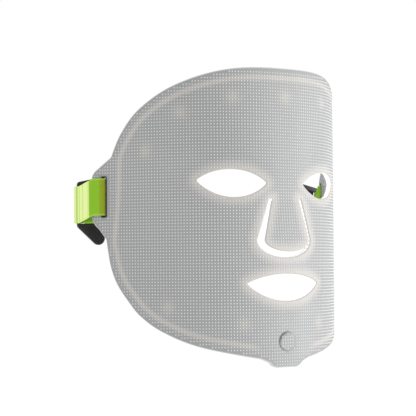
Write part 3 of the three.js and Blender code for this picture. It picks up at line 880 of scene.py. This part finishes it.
def tube_faces(first, rings, sides):
    """The walls and ends of a tube whose corners are numbered ring by ring from `first`."""
    faces = []
    last = first + (rings - 1) * sides
    for start in range(first, last, sides):
        for i in range(sides):
            j = (i + 1) % sides
            faces.append((start + i, start + j, start + sides + j, start + sides + i))
    faces.append(tuple(first + i for i in reversed(range(sides))))
    faces.append(tuple(last + i for i in range(sides)))
    return faces


def turned_mesh(name, profile, matrices, segments):
    """Copies of a round piece, whose profile lists (radius, y); its ends close on the axis."""
    turns = np.linspace(0, 2 * math.pi, segments, endpoint=False)
    places, faces = [], []
    for matrix in matrices:
        first = len(places)
        for radius, y in profile:
            for turn in turns:
                point = matrix @ (Vector((radius * math.cos(turn), y, radius * math.sin(turn))) * MM)
                places.append(tuple(point / MM))
        faces += tube_faces(first, len(profile), segments)
    return make_mesh(name, places, faces, 50)


def arc(centre, radius, start, end, steps=6):
    """Points (radius, y) on a round corner of a profile, from one angle to another."""
    turns = np.radians(np.linspace(start, end, steps))
    return [(centre[0] + radius * math.cos(t), centre[1] + radius * math.sin(t)) for t in turns]


def make_spacers(material):
    base = SHEET + 0.1
    profile = [(6.0, base), (6.0, base + 0.6), *arc((4.6, base + 1.2), 1.4, 0, 60), (3.0, base + 2.65),
               (1.6, base + 2.85), (0.05, base + 2.9)]
    nodes = [f"spacer_{place}" for place in ("brow", *(f"{part}_{side}" for part in
             ("forehead", "temple", "ear", "jaw", "chin") for side in ("left", "right")))]
    matrices = [sheet_frame(u, z) for u, z in SPACER_PLACES]
    mesh = turned_mesh("spacers", profile, matrices, 32)
    add_object("spacer_pads", mesh, material, "mask_sheet", nodes)


def strip_rows(u, first, last):
    return [(u, LED_FIRST_ROW + LED_PITCH * row) for row in range(first, last + 1)]


LENS_PROFILE = [(2.3, SHEET - 0.1), (2.3, SHEET + 0.05), (1.9, SHEET + 0.4), (1.2, SHEET + 0.7),
                (0.05, SHEET + 0.8)]


def make_lenses(material):
    """A clear dome in the liner over every light."""
    lights = strip_rows(0, 7, 11)
    for u, first, last in STRIPS:
        for side in (1, -1):
            lights += strip_rows(side * u, first, last)
    mesh = turned_mesh("lenses", LENS_PROFILE, [sheet_frame(u, z) for u, z in lights], 20)
    add_object("light_lenses", mesh, material, "mask_sheet")


def make_button(material):
    proud, radius = BUTTON_PROUD, BUTTON_RADIUS
    face = -SHEET - proud
    profile = [(0.05, face), (radius * 0.5, face), (radius - 1.3, face + 0.05),
               *arc((radius - 0.6, face + 0.65), 0.6, -80, 0), (radius, 1.1 - SHEET),
               (2.0, 1.1 - SHEET), (2.0, 1.8 - SHEET), (0.05, 1.8 - SHEET)]
    place = Matrix.Translation((0, 0, (BUTTON_Z - BRIDGE_Z) * MM))
    mesh = turned_mesh("button", profile, [place], 64)
    points = np.array([tuple(v.co) for v in mesh.vertices]) / MM
    flat = points[:, [0, 2]] + (0, BRIDGE_Z)
    reach = np.linalg.norm(flat - (0, BUTTON_Z), axis=1)
    slant = ((flat - (0, BUTTON_Z)) @ (-0.62, 0.78)) / radius
    at_rim = np.clip((reach - radius + 2.4) / 1.5, 0, 1)
    skin_attributes(mesh, flat, [MOUTH_HOLE], 0.7 * at_rim * np.clip(slant * 2 - 0.7, 0, 1))
    add_object("chin_button", mesh, material, "button_body", ["power_button"])


# ---- Moulded plates: flat outlines made solid with rounded edges ----

def make_moulding(name, outline, holes, thickness, bevel, matrix, material, body, replaced=()):
    """A flat piece in its own x and z, centred on y = 0, with every edge rounded."""
    made, _, faces, _, _, _ = delaunay_2d_cdt(*corners_and_sides([outline, *holes]), [], 1, 1e-4)
    flat = np.array([tuple(point) for point in made])
    faces = np.array(faces)
    faces = faces[within(flat[faces].mean(axis=1), outline, holes)]
    count, half = len(flat), thickness / 2
    places = np.vstack([np.column_stack([flat[:, 0], np.full(count, y), flat[:, 1]])
                        for y in (-half, half)])
    mesh = make_mesh(name, places, shell_faces(faces, count, np.zeros(len(faces), bool)))
    bm = bmesh.new()
    bm.from_mesh(mesh)
    bmesh.ops.dissolve_limit(bm, angle_limit=0.01, verts=bm.verts, edges=bm.edges)
    rims = [edge for edge in bm.edges if len(edge.link_faces) == 2 and edge.calc_face_angle(0) > 1.2
            and abs(edge.verts[0].co.y - edge.verts[1].co.y) < 1e-6]
    bmesh.ops.bevel(bm, geom=rims, offset=bevel * MM, segments=3, profile=0.5, affect="EDGES")
    bmesh.ops.triangulate(bm, faces=[face for face in bm.faces if len(face.verts) > 4])
    bm.to_mesh(mesh)
    bm.free()
    mesh.transform(matrix)
    mesh.shade_smooth()
    mesh.set_sharp_from_angle(angle=math.radians(38))
    return add_object(name, mesh, material, body, replaced)


def make_slot_frames(material):
    opening = rounded(SLOT_WIDTH, SLOT_HEIGHT, 0.6)
    outline = rounded(SLOT_WIDTH + 2 * SLOT_WALL, SLOT_HEIGHT + 2 * SLOT_WALL, 1.1)
    for side, label in ((1, "left"), (-1, "right")):
        place = sheet_frame(side * SLOT_U, TAB_MIDDLE) @ Matrix.Translation((0, SHEET / 2 * MM, 0))
        make_moulding(f"slot_rim_{label}", outline, [opening], SHEET + 0.4, 0.3, place, material,
                      "mask_sheet", [f"slot_frame_{label}"])


PLATE = {"slot_end": 5.4, "slot_half": 13.2, "neck_half": 16, "lobe_reach": 15.8, "lobe_radius": 5,
         "lobe_top": 19.5, "lobe_bottom": -28.2, "wide_from": 12.6, "wide_to": 16.6,
         "wide_top": 13.5, "wide_bottom": -12.5}


def lobe(end):
    """The round corner at one end of the plate, from the tangent of its slanting side."""
    reach, radius = PLATE["lobe_reach"], PLATE["lobe_radius"]
    slope = math.atan2(abs(end) - PLATE["neck_half"], reach + BAR_HALF)
    turns = np.linspace(-math.pi / 2 - slope, 0, 16)
    side = math.copysign(1, end)
    return np.column_stack([reach + radius * np.cos(turns), end - side * radius * (1 + np.sin(turns))])


def buckle_outline():
    neck = PLATE["neck_half"]
    below = [(-BAR_HALF, -neck + 1.5), (-BAR_HALF + 0.4, -neck + 0.4), (-BAR_HALF + 1.4, -neck - 0.6)]
    above = [(-BAR_HALF + 1.4, neck + 0.4), (-BAR_HALF + 0.4, neck - 0.4), (-BAR_HALF, neck - 1.5)]
    return np.vstack([below, lobe(PLATE["lobe_bottom"]), lobe(PLATE["lobe_top"])[::-1], above])


def buckle_frame(side):
    """Where the buckle is at rest: x runs from its bar along the plate."""
    tab = sheet_frame(side * SLOT_U, TAB_MIDDLE)
    bar = tab @ Matrix.Translation(Vector((side * BAR_REACH, BAR_DEPTH, -STRAP_DROOP)) * MM)
    turn = math.pi - PLATE_FOLD if side > 0 else PLATE_FOLD
    return bar @ Matrix.Rotation(turn, 4, "Z")


def make_buckles(material):
    outline = buckle_outline()
    half = PLATE["slot_half"]
    narrow = rounded_between(BAR_HALF, PLATE["slot_end"], -half, half, 0.5)
    wide = rounded_between(PLATE["wide_from"], PLATE["wide_to"],
                           PLATE["wide_bottom"], PLATE["wide_top"], 1.2)
    for side, label in ((1, "left"), (-1, "right")):
        place = buckle_frame(side)
        make_moulding(f"buckle_{label}", outline, [narrow, wide], 2.0, 0.45, place, material,
                      f"buckle_{label}", [f"side_plate_{label}"])


# ---- Webbing loops ----

LOOP_POINTS = 150


def loop_line():
    """The loop's middle line from above, (reach, depth): out of the slot, round the bar and back."""
    end = BAR_HALF * math.sqrt(2) + 0.375 + STRAP_THICKNESS / 2
    over = -(STRAP_CLEAR + STRAP_THICKNESS / 2)
    under = SHEET + STRAP_CLEAR + STRAP_THICKNESS / 2
    tip = TAB_TIP - SLOT_U
    bar = [(BAR_REACH + end * math.cos(t), BAR_DEPTH + end * math.sin(t))
           for t in np.radians([-90, -45, 0, 45, 90])]
    points = np.array([(-0.45, 3.4), (-0.55, 0.6), (0.7, over), (5, over - 0.3), (tip, over - 0.6), *bar,
                       (tip, under + 0.9), (6, under + 0.5), (1.2, under)])
    padded = np.vstack([points[-1:], points, points[:2]])
    line = []
    for p0, p1, p2, p3 in zip(padded, padded[1:], padded[2:], padded[3:]):
        knots = np.cumsum([0] + [np.linalg.norm(b - a) ** 0.5 for a, b in ((p0, p1), (p1, p2), (p2, p3))])
        for t in np.linspace(knots[1], knots[2], 24, endpoint=False):
            line.append(centripetal((p0, p1, p2, p3), knots, t))
    return even(np.array(line), length_of(line) / LOOP_POINTS)


def centripetal(points, knots, t):
    """A point on the curve through four points, with knots spaced by the roots of their gaps."""
    p0, p1, p2, p3 = points
    k0, k1, k2, k3 = knots
    a1 = (k1 - t) / (k1 - k0) * p0 + (t - k0) / (k1 - k0) * p1
    a2 = (k2 - t) / (k2 - k1) * p1 + (t - k1) / (k2 - k1) * p2
    a3 = (k3 - t) / (k3 - k2) * p2 + (t - k2) / (k3 - k2) * p3
    b1 = (k2 - t) / (k2 - k0) * a1 + (t - k0) / (k2 - k0) * a2
    b2 = (k3 - t) / (k3 - k1) * a2 + (t - k1) / (k3 - k1) * a3
    return (k2 - t) / (k2 - k1) * b1 + (t - k1) / (k2 - k1) * b2


def length_of(line):
    closed = np.vstack([line, line[:1]])
    return float(np.linalg.norm(np.diff(closed, axis=0), axis=1).sum())


def ease(share):
    share = np.clip(share, 0, 1)
    return share * share * (3 - 2 * share)


def droop_at(reach, depth):
    """How far the loop hangs down: its front sags beyond the tab, its back from the slot on."""
    front = np.clip((reach - 7.5) / 12.5, 0, 1)
    back = ease(reach / 8)
    return STRAP_DROOP * np.where(depth < BAR_DEPTH, front, np.where(reach > 20, 1.0, back))


def make_loops(webbing, thread):
    line = loop_line()
    count = len(line)
    normals = grow(line, 1.0) - line
    normals /= np.linalg.norm(normals, axis=1)[:, None]
    half = STRAP_HEIGHT / 2
    across = np.linspace(-half, half, 114)
    rib = 0.07 * np.cos(across * 2 * math.pi / RIB_PITCH)
    hem = np.clip((half - np.abs(across)) / 0.7, 0, 1)
    thickness = (STRAP_THICKNESS / 2 - 0.07) * np.sqrt(1 - (1 - hem) ** 2 * 0.9) + rib * hem
    stations = np.arange(count) * length_of(line) / count
    droop = droop_at(line[:, 0], line[:, 1])
    for side, label in ((1, "left"), (-1, "right")):
        rings, along, width = [], [], []
        for face in (1, -1):
            for offset, height in zip(thickness, across):
                ring = line + normals * face * offset
                rings.append(np.column_stack([side * ring[:, 0], ring[:, 1], height - droop]))
                along.append(stations)
                width.append(np.full(count, height))
        rows = len(across)
        order = [*range(rows), *reversed(range(rows, 2 * rows))]
        faces = []
        for row, after in zip(order, order[1:] + order[:1]):
            for i in range(count):
                j = (i + 1) % count
                quad = (row * count + i, row * count + j, after * count + j, after * count + i)
                faces.append(quad if side > 0 else quad[::-1])
        places = np.vstack(rings)
        mesh = make_mesh(f"webbing_{label}", places, faces, 60)
        mesh.transform(sheet_frame(side * SLOT_U, TAB_MIDDLE))
        add_attribute(mesh, "along", np.concatenate(along))
        add_attribute(mesh, "across", np.concatenate(width))
        tip = TAB_TIP - SLOT_U
        in_front = line[:, 1] < BAR_DEPTH
        # painted shade at the crease round the bar, where the painted highlight is dimmed
        crease_shade = np.exp(-(((line[:, 0] - BAR_REACH + 0.8) / 0.6) ** 2))
        # painted highlight on the loop's front beyond the tab's tip
        painted_highlight = in_front * ease((line[:, 0] - tip + 0.4) / 1.0) * (1 - 0.9 * crease_shade)
        # painted shade where the loop's front dips into its slot
        dip_shade = in_front * ease((2.9 - line[:, 0]) / 1.2)
        add_attribute(mesh, "painted_highlight", np.tile(painted_highlight, 2 * rows))
        add_attribute(mesh, "dip_shade", np.tile(dip_shade, 2 * rows))
        add_object(f"webbing_loop_{label}", mesh, webbing, f"loop_{label}",
                   [f"strap_loop_{label}"])
        make_stitches(label, side, thread)


def make_stitches(label, side, thread):
    """Two rows of thread across the back of the loop, where its ends are sewn together."""
    places, faces = [], []
    depth = SHEET + STRAP_CLEAR + STRAP_THICKNESS + 0.45
    stitches, pitch, half_length, crown = 9, 2.75, 0.95, 0.22
    half_width, half_depth, sides, rings = 0.2, 0.16, 6, 7
    for reach in (4.0, 6.2):
        droop = float(droop_at(reach, depth))
        for number in range(stitches):
            height = (number - (stitches - 1) / 2) * pitch
            first = len(places)
            for step in np.linspace(-1, 1, rings):
                lift = crown * math.sqrt(max(0.0, 1 - step * step))
                for turn in np.linspace(0, 2 * math.pi, sides, endpoint=False):
                    places.append((side * (reach + half_width * math.cos(turn)),
                                   depth + lift + half_depth * math.sin(turn),
                                   height + step * half_length - droop))
            faces += tube_faces(first, rings, sides)
    mesh = make_mesh(f"stitches_{label}", places, faces, 80)
    mesh.transform(sheet_frame(side * SLOT_U, TAB_MIDDLE))
    bm = bmesh.new()
    bm.from_mesh(mesh)
    bmesh.ops.recalc_face_normals(bm, faces=bm.faces)
    bm.to_mesh(mesh)
    bm.free()
    add_object(f"loop_stitches_{label}", mesh, thread, f"loop_{label}")


# ---- Chin pod and inlet ----

def chin_matrix(y, z):
    """A flat piece in the chin: its own x and z, at a depth y behind the outer face."""
    return Matrix.Translation(Vector((0, y - SHEET, z - BRIDGE_Z)) * MM)


def upright(y_middle, z_middle):
    """A flat piece that lies level, so that its own z runs along y."""
    return chin_matrix(y_middle, z_middle) @ Matrix.Rotation(math.radians(90), 4, "X")


def make_chin(pod, black, steel):
    """The pod's tub, back and raised panel, then the inlet's bezel and its steel shell."""
    make_moulding("pod_tub", rounded(26.8, 25.8, 3.0), [rounded(24.4, 23.4, 2.0)], 3.9, 0.35,
                  chin_matrix(5.65, POD_Z), pod, "mask_sheet", ["chin_pod"])
    make_moulding("pod_back", rounded(26.4, 25.4, 2.9), [], 1.3, 0.6, chin_matrix(8.15, POD_Z), pod,
                  "mask_sheet")
    make_moulding("pod_panel", rounded(19.0, 18.0, 2.2), [], 0.5, 0.2, chin_matrix(8.8, POD_Z), pod,
                  "mask_sheet")
    make_moulding("inlet_bezel", rounded(11.14, 5.46, 1.9), [rounded(9.54, 3.86, 1.5)], 6.9, 0.25,
                  upright(INLET_Y, 3.45), black, "mask_sheet", ["port_bezel"])
    make_moulding("inlet_shell", rounded(8.94, 3.26, 1.55), [rounded(8.34, 2.66, 1.28)], 7.3, 0.08,
                  upright(INLET_Y, 3.95), steel, "mask_sheet", ["port_shell"])


def paint(nodes, material):
    for node in nodes:
        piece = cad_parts[node]
        piece.data.materials.clear()
        piece.data.materials.append(material)


def main():
    add_camera()
    add_stage()
    skin = silicone_skin()
    liner = silicone_liner()
    lens = clear_lens()
    black = black_moulding()
    make_skin(skin)
    make_flap(skin)
    make_flap_liner(liner)
    make_flap_lenses(lens)
    make_button(skin)
    make_dots(silicone_dots())
    make_liner(liner)
    make_lenses(lens)
    make_spacers(spacer_silicone())
    make_slot_frames(black)
    make_buckles(black)
    make_loops(lime_webbing(), lime_thread())
    make_chin(pod_plastic(), black, drawn_steel())
    names = list(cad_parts)
    paint([name for name in names if "led_strip" in name], led_board())
    paint([name for name in names if "ribbon" in name], film_ribbon())
    paint(["control_board"], circuit_board())
    paint(["driver_chip", "power_switch", "port_tongue"], chip_resin())


main()
